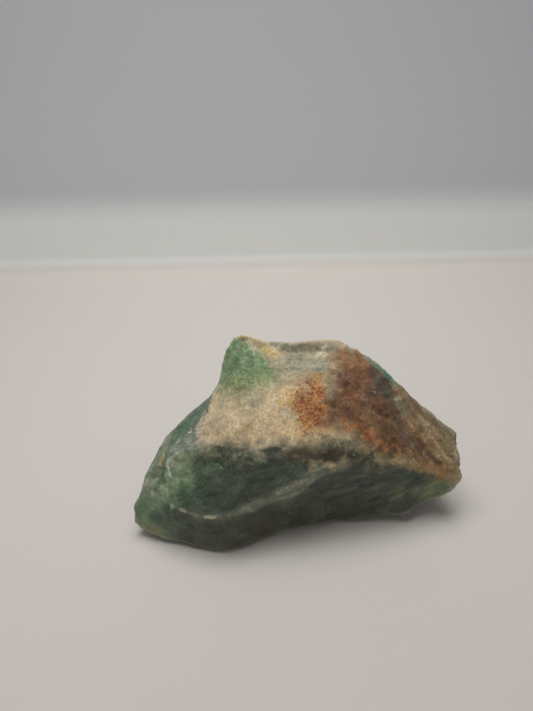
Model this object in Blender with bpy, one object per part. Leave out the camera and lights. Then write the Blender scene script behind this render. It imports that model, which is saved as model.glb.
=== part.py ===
# Raw green aventurine: one rough, broken chunk of green quartzite lying on its broadest break.
# The stone is lofted through the edge lines that its fractures left, each a closed loop of corners
# that runs round the stone from the left end, along the front, to the right end and back behind.
# The long faces between the loops are then divided into small facets, their ridges worn a little
# round, the shell-shaped hollows of smaller breaks taken out, and the uneven relief of a broken
# surface raised on what is left.
#
# Frame: +X along the stone towards its pointed right end, +Y away from the front, +Z up.
# The origin is the middle of the stone's footprint, on the surface that it rests on.

import bmesh
import bpy
from mathutils import Vector, noise

MM = 0.001

# Driving sizes, in millimetres
STONE_LENGTH = 64.0
STONE_DEPTH = 43.5
STONE_HEIGHT = 36.0
FACET_EDGE = 1.9

# Edges that fold more than this, in radians, are ridges, which stay crisp while the faces between
# them are evened out
RIDGE_FOLD = 0.38
FACE_EVENING = 0.5
FACE_EVENING_PASSES = 10
# How far each point of a ridge is then drawn towards its neighbours' middle, and how often
RIDGE_WEAR = 0.4
RIDGE_WEAR_PASSES = 1

# Fracture relief: (wavelength, height) of each layer of unevenness, in millimetres
RELIEF = [(13.0, 0.55), (5.0, 0.40), (2.6, 0.18)]
RELIEF_SEED = Vector((31.7, 8.2, 4.9))
# The relief stays this far above the surface that the stone lies on, off its resting break
GROUND_CLEARANCE = 0.15

# Edges between facets flatter than this, in radians, may turn while the faces are divided
LEVEL = 0.01

# Smaller breaks: (place on the surface, direction out of it, radius of the hollow's ball, depth)
HOLLOWS = [
    # the pit in the dark front, under the long ridge
    ((6.2, -17.3, 19.2), (0.0, -0.9, 0.45), 2.6, 1.5),
    # the curved chip at the left end of the front
    ((-25.0, -13.5, 14.0), (-0.6, -0.7, 0.3), 6.0, 0.7),
    # breaks across the ridges of the back and the right end
    ((-2.0, 15.5, 18.0), (0.0, 0.75, 0.6), 30.0, 2.0),
    ((19.5, 11.5, 13.5), (0.6, 0.7, 0.4), 21.0, 2.0),
    ((-19.0, 8.0, 14.5), (-0.65, 0.6, 0.45), 19.0, 1.8),
    ((-14.0, 17.0, 5.0), (-0.5, 0.85, 0.1), 16.0, 1.2),
    ((30.0, -3.0, 12.0), (0.95, 0.25, 0.1), 17.0, 1.0),
    ((13.0, 18.0, 6.0), (0.4, 0.9, -0.05), 12.0, 1.0),
]

STONE_GREEN = (0.055, 0.115, 0.075, 1.0)
STONE_ROUGHNESS = 0.62

# Edge lines, from the bottom up. Corners are (x, y, z) in millimetres.

# The break that the stone lies on: a flat face at z = 0
RESTING_BREAK = [
    (-26.5, -11.0, 0.0),
    (-22.5, -17.5, 0.0),
    (-18.0, -20.2, 0.0),
    (-14.0, -20.6, 0.0),
    (-10.0, -19.2, 0.0),
    (-1.5, -16.0, 0.0),
    (7.5, -13.5, 0.0),
    (15.5, -10.5, 0.0),
    (21.5, -4.0, 0.0),
    (22.0, 7.0, 0.0),
    (4.5, 20.0, 0.0),
    (-8.5, 18.0, 0.0),
    (-18.5, 9.0, 0.0),
    (-24.5, -1.0, 0.0),
]

# The lower edge, just off the ground in front and lifting clear of it at both ends
LOWER_EDGE = [
    (-31.0, -16.5, 3.0),
    (-29.0, -17.8, 1.5),
    (-22.5, -20.0, 0.7),
    (-18.0, -21.4, 0.7),
    (-14.5, -21.8, 0.7),
    (-10.0, -20.3, 0.8),
    (-1.5, -17.2, 0.8),
    (7.5, -15.0, 0.8),
    (15.0, -14.6, 1.2),
    (21.5, -15.1, 2.0),
    (27.0, -13.8, 4.2),
    (30.5, -14.0, 7.2),
    (29.0, -2.0, 5.5),
    (24.5, 10.0, 4.5),
    (6.0, 21.8, 3.5),
    (-9.0, 20.0, 3.0),
    (-21.0, 9.5, 4.0),
    (-28.5, -4.0, 4.0),
]

# The pale crest that crosses the front from the left toe up to the middle, then the right tip
PALE_CREST = [
    (-31.5, -16.0, 7.0),
    (-27.0, -15.5, 9.8),
    (-22.0, -19.7, 9.2),
    (-18.3, -21.3, 9.7),
    (-14.0, -22.2, 10.5),
    (-10.0, -21.8, 11.2),
    (-6.5, -20.8, 12.2),
    (-1.5, -19.8, 13.6),
    (4.0, -17.8, 16.2),
    (8.3, -17.2, 17.0),
    (14.5, -16.1, 15.9),
    (20.5, -14.8, 14.6),
    (26.0, -13.5, 12.0),
    (32.0, -13.0, 9.5),
    (30.5, -4.0, 10.0),
    (25.5, 8.5, 12.0),
    (7.5, 18.5, 15.5),
    (-11.0, 16.0, 13.0),
    (-22.5, 5.5, 11.5),
    (-28.0, -7.0, 9.0),
]

# The long rounded ridge between the lit upper face and the dark front
FRONT_RIDGE = [
    (-29.5, -14.0, 10.0),
    (-25.0, -14.0, 13.0),
    (-24.0, -12.5, 16.0),
    (-18.5, -13.0, 19.5),
    (-15.0, -15.0, 21.3),
    (-10.5, -16.3, 22.0),
    (-6.5, -17.3, 22.0),
    (-1.5, -16.7, 22.2),
    (4.2, -16.0, 22.6),
    (9.8, -14.8, 21.4),
    (16.0, -14.3, 17.4),
    (24.5, -11.0, 16.5),
    (31.0, -12.5, 14.0),
    (29.0, -4.0, 16.0),
    (23.0, 2.0, 20.0),
    (13.5, 7.5, 23.0),
    (2.0, 10.5, 24.5),
    (-9.0, 8.0, 24.5),
    (-15.5, 3.5, 20.0),
    (-20.2, -2.4, 18.7),
    (-25.0, -7.0, 15.7),
    (-27.3, -11.2, 13.0),
]

# The middle of the upper face, the right shoulder and the upper back
UPPER_BREAK = [
    (-18.0, -9.7, 21.2),
    (-12.0, -11.6, 24.8),
    (-6.0, -11.6, 26.0),
    (0.5, -12.0, 26.6),
    (6.0, -9.3, 27.0),
    (13.0, -12.0, 22.3),
    (19.0, -9.5, 22.5),
    (30.5, -9.5, 18.0),
    (24.0, -6.0, 23.0),
    (14.2, 1.8, 27.0),
    (4.0, 5.0, 29.7),
    (-5.5, 4.5, 30.5),
    (-12.5, 2.0, 26.0),
    (-16.0, -2.3, 22.2),
    (-20.5, -8.0, 18.5),
    (-25.0, -11.0, 15.5),
]

# The foot of the green knob, the front of the hollow, and the top edge from the right shoulder
# back to the peak
TOP_EDGE = [
    (-14.5, -3.0, 26.0),
    (-16.5, -6.5, 23.5),
    (-9.5, -7.0, 27.0),
    (-5.0, -4.5, 29.5),
    (-2.0, -4.0, 30.3),
    (2.0, -5.5, 29.8),
    (6.5, -4.0, 30.3),
    (12.0, -8.0, 26.0),
    (18.5, -7.5, 25.5),
    (17.5, -2.5, 28.0),
    (13.0, 0.0, 30.6),
    (9.5, 1.8, 32.2),
    (4.7, 1.8, 32.6),
    (-0.4, 1.0, 32.6),
    (-5.0, 0.7, 34.0),
    (-9.5, -0.5, 36.0),
    (-11.0, -0.5, 35.3),
    (-13.0, -1.0, 33.0),
    (-14.0, -1.0, 28.5),
]

# The line that closes the top, from the crown of the green knob, along the foot of the small scarp
# behind the hollow, to the rust-stained shoulder
TOP_SPINE = [
    (-9.5, -4.5, 32.0),
    (-6.0, -2.0, 33.0),
    (-3.0, -1.0, 31.9),
    (0.0, 0.0, 30.8),
    (4.7, 0.5, 30.8),
    (7.7, -0.4, 31.2),
    (16.0, -5.0, 28.0),
]


def clear_scene():
    for obj in list(bpy.data.objects):
        bpy.data.objects.remove(obj, do_unlink=True)


def add_loop(mesh, corners):
    return [mesh.verts.new(Vector(corner)) for corner in corners]


def best_crossings(lower, upper):
    """The steps round two loops, True for one on the lower loop, whose joining edges are shortest in all."""
    rows, columns = len(lower) + 1, len(upper) + 1
    total = [[0.0] * columns for _ in range(rows)]
    step_on_lower = [[False] * columns for _ in range(rows)]
    for i in range(rows):
        for j in range(columns):
            if i == j == 0:
                continue
            by_lower = total[i - 1][j] if i else float("inf")
            by_upper = total[i][j - 1] if j else float("inf")
            joining_edge = (lower[i % len(lower)].co - upper[j % len(upper)].co).length
            step_on_lower[i][j] = by_lower <= by_upper
            total[i][j] = min(by_lower, by_upper) + joining_edge
    steps = []
    i, j = len(lower), len(upper)
    while i or j:
        steps.append(step_on_lower[i][j])
        if step_on_lower[i][j]:
            i -= 1
        else:
            j -= 1
    return reversed(steps)


def stitch(mesh, lower, upper):
    """Closes the band between two loops with triangles."""
    i, j = 0, 0
    for on_lower in best_crossings(lower, upper):
        a, b = lower[i % len(lower)], upper[j % len(upper)]
        if on_lower:
            i += 1
            mesh.faces.new((a, lower[i % len(lower)], b))
        else:
            j += 1
            mesh.faces.new((a, upper[j % len(upper)], b))


def loft_stone(mesh):
    """The stone's plain facets, with its resting break left open."""
    loops = [RESTING_BREAK, LOWER_EDGE, PALE_CREST, FRONT_RIDGE, UPPER_BREAK, TOP_EDGE]
    rings = [add_loop(mesh, corners) for corners in loops]
    for lower, upper in zip(rings, rings[1:]):
        stitch(mesh, lower, upper)
    spine = add_loop(mesh, TOP_SPINE)
    there_and_back = spine + spine[-2:0:-1]
    stitch(mesh, rings[-1], there_and_back)


def divide_facets(mesh):
    """Divides the long faces until no edge is longer than FACET_EDGE."""
    longest = STONE_LENGTH
    while longest > FACET_EDGE:
        longest = max(longest / 2, FACET_EDGE)
        long_edges = [edge for edge in mesh.edges if edge.calc_length() > longest]
        while long_edges:
            bmesh.ops.subdivide_edges(mesh, edges=long_edges, cuts=1)
            bmesh.ops.triangulate(mesh, faces=mesh.faces[:])
            long_edges = [edge for edge in mesh.edges if edge.calc_length() > longest]
        level_edges = [edge for edge in mesh.edges if edge.calc_face_angle(LEVEL) < LEVEL]
        bmesh.ops.beautify_fill(mesh, faces=mesh.faces[:], edges=level_edges)


def draw_together(mesh, points, share):
    """Moves each point this share of the way to its neighbours' middle."""
    bmesh.ops.smooth_vert(
        mesh, verts=points, factor=share, use_axis_x=True, use_axis_y=True, use_axis_z=True
    )


def even_faces(mesh):
    ridges = [edge for edge in mesh.edges if edge.is_boundary or edge.calc_face_angle() > RIDGE_FOLD]
    held = {vertex for edge in ridges for vertex in edge.verts}
    free = [vertex for vertex in mesh.verts if vertex not in held]
    for _ in range(FACE_EVENING_PASSES):
        draw_together(mesh, free, FACE_EVENING)


def wear_ridges(mesh):
    free = [vertex for vertex in mesh.verts if not vertex.is_boundary]
    for _ in range(RIDGE_WEAR_PASSES):
        draw_together(mesh, free, RIDGE_WEAR)


def take_out_hollow(mesh, place, facing, radius, depth):
    """Pushes what lies inside a ball that dips into the surface out to the ball's own skin."""
    centre = Vector(place) + Vector(facing).normalized() * (radius - depth)
    for vertex in mesh.verts:
        from_centre = vertex.co - centre
        if from_centre.length < radius and not vertex.is_boundary:
            vertex.co = centre + from_centre.normalized() * radius


def relief_height(point):
    return sum(height * noise.noise(point / wavelength + RELIEF_SEED) for wavelength, height in RELIEF)


def raise_relief(mesh):
    mesh.normal_update()
    free = [vertex for vertex in mesh.verts if not vertex.is_boundary]
    raised = [vertex.co + vertex.normal * relief_height(vertex.co) for vertex in free]
    for vertex, place in zip(free, raised):
        vertex.co = place
        vertex.co.z = max(place.z, GROUND_CLEARANCE)


def close_resting_break(mesh):
    rim = [edge for edge in mesh.edges if edge.is_boundary]
    bmesh.ops.contextual_create(mesh, geom=rim)


def fit_to_size(mesh):
    """Brings the stone to its driving sizes, with its footprint's middle at the origin."""
    sides = list(zip(*(vertex.co for vertex in mesh.verts)))
    low = Vector(min(side) for side in sides)
    high = Vector(max(side) for side in sides)
    size = high - low
    middle = (low + high) / 2
    bmesh.ops.translate(mesh, vec=(-middle.x, -middle.y, -low.z), verts=mesh.verts)
    stretch = (STONE_LENGTH / size.x, STONE_DEPTH / size.y, STONE_HEIGHT / size.z)
    bmesh.ops.scale(mesh, vec=Vector(stretch) * MM, verts=mesh.verts)


def make_stone():
    mesh = bmesh.new()
    loft_stone(mesh)
    divide_facets(mesh)
    even_faces(mesh)
    wear_ridges(mesh)
    for hollow in HOLLOWS:
        take_out_hollow(mesh, *hollow)
    raise_relief(mesh)
    close_resting_break(mesh)
    fit_to_size(mesh)
    bmesh.ops.recalc_face_normals(mesh, faces=mesh.faces)
    data = bpy.data.meshes.new("stone")
    mesh.to_mesh(data)
    mesh.free()
    return bpy.data.objects.new("stone", data)


def make_green_stone_material():
    material = bpy.data.materials.new("green aventurine")
    material.use_nodes = True
    shader = material.node_tree.nodes["Principled BSDF"]
    shader.inputs["Base Color"].default_value = STONE_GREEN
    shader.inputs["Roughness"].default_value = STONE_ROUGHNESS
    shader.inputs["Metallic"].default_value = 0.0
    return material


def main():
    clear_scene()
    stone = make_stone()
    stone.data.materials.append(make_green_stone_material())
    bpy.context.scene.collection.objects.link(stone)


main()
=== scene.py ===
import math
import bmesh
import bpy
import numpy as np
from mathutils import Matrix, Vector


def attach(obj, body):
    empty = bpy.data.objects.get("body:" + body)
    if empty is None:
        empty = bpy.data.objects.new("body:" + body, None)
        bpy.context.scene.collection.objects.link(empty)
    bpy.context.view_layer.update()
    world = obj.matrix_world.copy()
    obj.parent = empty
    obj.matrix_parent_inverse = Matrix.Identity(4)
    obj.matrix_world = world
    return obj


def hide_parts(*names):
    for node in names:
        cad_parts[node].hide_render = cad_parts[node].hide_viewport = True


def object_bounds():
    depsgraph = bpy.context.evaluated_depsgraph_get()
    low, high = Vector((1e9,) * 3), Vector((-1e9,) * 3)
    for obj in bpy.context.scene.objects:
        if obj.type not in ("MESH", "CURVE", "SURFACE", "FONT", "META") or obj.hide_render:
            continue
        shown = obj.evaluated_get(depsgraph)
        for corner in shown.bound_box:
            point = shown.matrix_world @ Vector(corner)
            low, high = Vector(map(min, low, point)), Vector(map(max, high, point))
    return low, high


# Raw green aventurine: a sandy, rust-stained crust on top, dark green breaks in front and behind.
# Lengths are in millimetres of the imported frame, and become metres only where Blender needs them.
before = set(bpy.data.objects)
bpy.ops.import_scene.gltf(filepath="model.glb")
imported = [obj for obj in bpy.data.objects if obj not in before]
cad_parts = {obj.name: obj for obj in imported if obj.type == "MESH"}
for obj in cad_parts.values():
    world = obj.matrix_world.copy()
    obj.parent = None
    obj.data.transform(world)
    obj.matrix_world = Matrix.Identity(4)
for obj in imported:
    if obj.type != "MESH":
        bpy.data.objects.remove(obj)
cadBox = [list(corner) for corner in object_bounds()]
mm = 0.001
print("frame loaded, box in metres:", cadBox)


# A node with its settings, its inputs given as plain values or as other nodes' outputs
def addNode(tree, kind, inputs=None, **settings):
    made = tree.nodes.new(kind)
    for name, value in settings.items():
        setattr(made, name, value)
    for key, value in (inputs or {}).items():
        socket = made.inputs[key]
        if isinstance(value, bpy.types.NodeSocket):
            tree.links.new(value, socket)
        else:
            socket.default_value = value
    return made


def calc(tree, operation, *values):
    return addNode(tree, "ShaderNodeMath", dict(enumerate(values)), operation=operation).outputs[0]


def vectorCalc(tree, operation, *values):
    return addNode(tree, "ShaderNodeVectorMath", dict(enumerate(values)), operation=operation).outputs[0]


def scaled(tree, vector, size):
    return addNode(tree, "ShaderNodeVectorMath", {0: vector, "Scale": size}, operation="SCALE").outputs[0]


# 0 below low, top above high, and a soft rise between them
def rise(tree, value, low, high, top=1.0):
    inputs = {"Value": value, "From Min": low, "From Max": high, "To Max": top}
    made = addNode(tree, "ShaderNodeMapRange", inputs, interpolation_type="SMOOTHSTEP", clamp=False)
    return made.outputs[0]


def noise(tree, place, size, detail=3.0, roughness=0.55, kind="Fac"):
    inputs = {"Vector": place, "Scale": 1.0 / size, "Detail": detail, "Roughness": roughness}
    return addNode(tree, "ShaderNodeTexNoise", inputs).outputs[kind]


def mixColour(tree, amount, low, high, way="MIX"):
    inputs = {0: amount, 6: low, 7: high}
    return addNode(tree, "ShaderNodeMix", inputs, data_type="RGBA", blend_type=way).outputs[2]


def mixNumber(tree, amount, low, high):
    return addNode(tree, "ShaderNodeMix", {0: amount, 2: low, 3: high}).outputs[0]


# Camera: the photograph's own view, looking down at the stone from the front
cameraPlace = {
    "place": (-5.546, -93.934, 92.082),
    "lookDown": 33.063,                    # degrees
    "roll": -1.203,
    "focalPixels": 580.0,                  # focal length, in pixels of the tall side
    "tallPixels": 711.0,
    "sensor": 36.0,
    "nearest": 1.0,
}


def makeCamera(values):
    data = bpy.data.cameras.new("camera")
    data.sensor_width = values["sensor"]
    data.lens = values["focalPixels"] / values["tallPixels"] * values["sensor"]
    data.clip_start = values["nearest"] * mm
    camera = bpy.data.objects.new("camera", data)
    tilt = math.radians(90.0 - values["lookDown"])
    turn = Matrix.Rotation(tilt, 4, "X") @ Matrix.Rotation(math.radians(values["roll"]), 4, "Z")
    camera.matrix_world = Matrix.Translation(Vector(values["place"]) * mm) @ turn
    bpy.context.collection.objects.link(camera)
    bpy.context.scene.camera = camera


makeCamera(cameraPlace)
print("camera placed")


# Studio: a pale floor that turns up into a cooler wall, a wide lamp above and behind, a weak fill in front
studio = {
    "floorFront": -420.0,
    "wallPlace": 111.0,
    "sweep": 5.0,
    "sweepSteps": 8,
    "wallHeight": 150.0,
    "halfWidth": 420.0,
    "floorColour": (0.755, 0.705, 0.655, 1.0),
    # the wall is painted darker towards its top and lighter near its foot: painted shade and painted light
    "wallColour": (0.70, 0.71, 0.745, 1.0),
    "wallTop": (0.565, 0.57, 0.60, 1.0),
    "wallFoot": (0.98, 1.0, 0.98, 1.0),
    "wallStart": (0.5, 4.0),               # heights between which each colour gives way to the next
    "footHeight": (17.0, 31.0),
    "topHeight": (35.0, 115.0),
    "roughness": 0.9,
    "shine": 0.1,
    "lampPlace": (-20.0, 22.0, 270.0),
    "lampAim": (0.0, 0.0, 10.0),
    "lampSize": (210.0, 140.0),
    "lampPower": 0.48,
    "fillPlace": (-160.0, -260.0, 160.0),
    "fillSize": (160.0, 160.0),
    "fillPower": 0.02,
    "roomColour": (0.86, 0.86, 0.86, 1.0),
    "roomStrength": 0.17,
}


def studioFloor(values):
    profile = [(values["floorFront"], 0.0)]
    sweep, steps = values["sweep"], values["sweepSteps"]
    for step in range(steps + 1):
        angle = math.radians(90.0 * step / steps)
        profile.append((values["wallPlace"] - sweep + sweep * math.sin(angle), sweep * (1 - math.cos(angle))))
    profile.append((values["wallPlace"], values["wallHeight"]))
    mesh = bpy.data.meshes.new("floor")
    points = [(side * values["halfWidth"] * mm, y * mm, z * mm) for y, z in profile for side in (-1, 1)]
    faces = [(2 * i, 2 * i + 1, 2 * i + 3, 2 * i + 2) for i in range(len(profile) - 1)]
    mesh.from_pydata(points, [], faces)
    mesh.shade_smooth()
    floor = bpy.data.objects.new("floor", mesh)
    bpy.context.collection.objects.link(floor)
    mesh.materials.append(floorMaterial(values))


def floorMaterial(values):
    material = bpy.data.materials.new("paleFloor")
    material.use_nodes = True
    tree = material.node_tree
    place = scaled(tree, addNode(tree, "ShaderNodeTexCoord").outputs["Object"], 1 / mm)
    height = addNode(tree, "ShaderNodeSeparateXYZ", {0: place}).outputs["Z"]
    # the wall's colour: painted shade towards its top, painted light near its foot
    wall = mixColour(tree, rise(tree, height, *values["topHeight"]), values["wallColour"], values["wallTop"])
    wall = mixColour(tree, rise(tree, height, *values["footHeight"]), values["wallFoot"], wall)
    colour = mixColour(tree, rise(tree, height, *values["wallStart"]), values["floorColour"], wall)
    shader = tree.nodes["Principled BSDF"]
    tree.links.new(colour, shader.inputs["Base Color"])
    shader.inputs["Roughness"].default_value = values["roughness"]
    shader.inputs["Specular IOR Level"].default_value = values["shine"]
    return material


def addLamp(name, place, aim, size, power):
    data = bpy.data.lights.new(name, "AREA")
    data.shape = "RECTANGLE"
    data.size, data.size_y = (side * mm for side in size)
    data.energy = power
    lamp = bpy.data.objects.new(name, data)
    lamp.location = Vector(place) * mm
    lamp.rotation_euler = ((Vector(aim) - Vector(place)) * mm).to_track_quat("-Z", "Y").to_euler()
    bpy.context.collection.objects.link(lamp)


def studioLight(values):
    addLamp("lampAbove", values["lampPlace"], values["lampAim"], values["lampSize"], values["lampPower"])
    addLamp("fill", values["fillPlace"], values["lampAim"], values["fillSize"], values["fillPower"])
    world = bpy.data.worlds.new("room")
    world.use_nodes = True
    world.node_tree.nodes["Background"].inputs["Color"].default_value = values["roomColour"]
    world.node_tree.nodes["Background"].inputs["Strength"].default_value = values["roomStrength"]
    bpy.context.scene.world = world
    bpy.context.scene.view_settings.view_transform = "Standard"


studioFloor(studio)
studioLight(studio)
print("studio built")


# Body: the CAD stone as one fine skin, its small flats eased and its ridges kept.
# A pass averages each point with its neighbours, so more passes reach further.
body = {
    "skin": 0.36,              # distance between the skin's points
    "easing": 9,               # passes over the flats
    "ridgeEasing": 1,          # passes over the ridges
    "ridge": (0.05, 0.16),     # how far a point stands off its surroundings on a flat, and on a ridge
    "ridgeSpread": 3,          # passes that even out what is a ridge
    "smooth": (-1.5, 1.0),     # how deep in the toe or the knob their own easing starts, and is whole
    "smoothEasing": 8,         # passes over the toe and the knob, which are worn smooth
    "sharpTop": (35.3, 33.8),  # heights that keep the cap's edge, and let the knob be smooth
    "crispReach": 16,          # passes that find what stands off, to bring out ridges and hollows
    "crispSpread": 2,          # passes that even it out
    "crispness": 1.1,
    "mostCrisp": 0.45,
    "lieReach": 10,            # passes that find what stands out, which is worn and gets a painted highlight
    "wearAndHighlightReach": 14,           # passes that find what stands out, and is worn
}


def stoneSkin(node, values):
    mesh = node.data.copy()
    mesh.materials.clear()
    welded = bmesh.new()
    welded.from_mesh(mesh)
    bmesh.ops.remove_doubles(welded, verts=welded.verts, dist=1e-6)
    welded.to_mesh(mesh)
    welded.free()
    stone = bpy.data.objects.new("aventurineStone", mesh)
    bpy.context.collection.objects.link(stone)
    bpy.context.view_layer.objects.active = stone
    mesh.remesh_voxel_size = values["skin"] * mm
    bpy.ops.object.voxel_remesh()
    return stone


# Attributes that the relief and the colours share. Balls and lines are (x, y, z) places on the stone,
# and the attribute of each stain or patch of painted light says how deep in millimetres a point lies inside
# it, below zero outside.
farAway = 99.0


def depthInBalls(points, balls):
    best = np.full(len(points), -farAway)
    for x, y, z, radius in balls:
        best = np.maximum(best, radius - np.linalg.norm(points - (x, y, z), axis=1))
    return best


def depthInLine(points, line, width):
    best = np.full(len(points), farAway)
    for start, end in zip(np.array(line[:-1]), np.array(line[1:])):
        along = end - start
        share = np.clip((points - start) @ along / (along @ along), 0.0, 1.0)
        best = np.minimum(best, np.linalg.norm(points - start - share[:, None] * along, axis=1))
    return width - best
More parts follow.
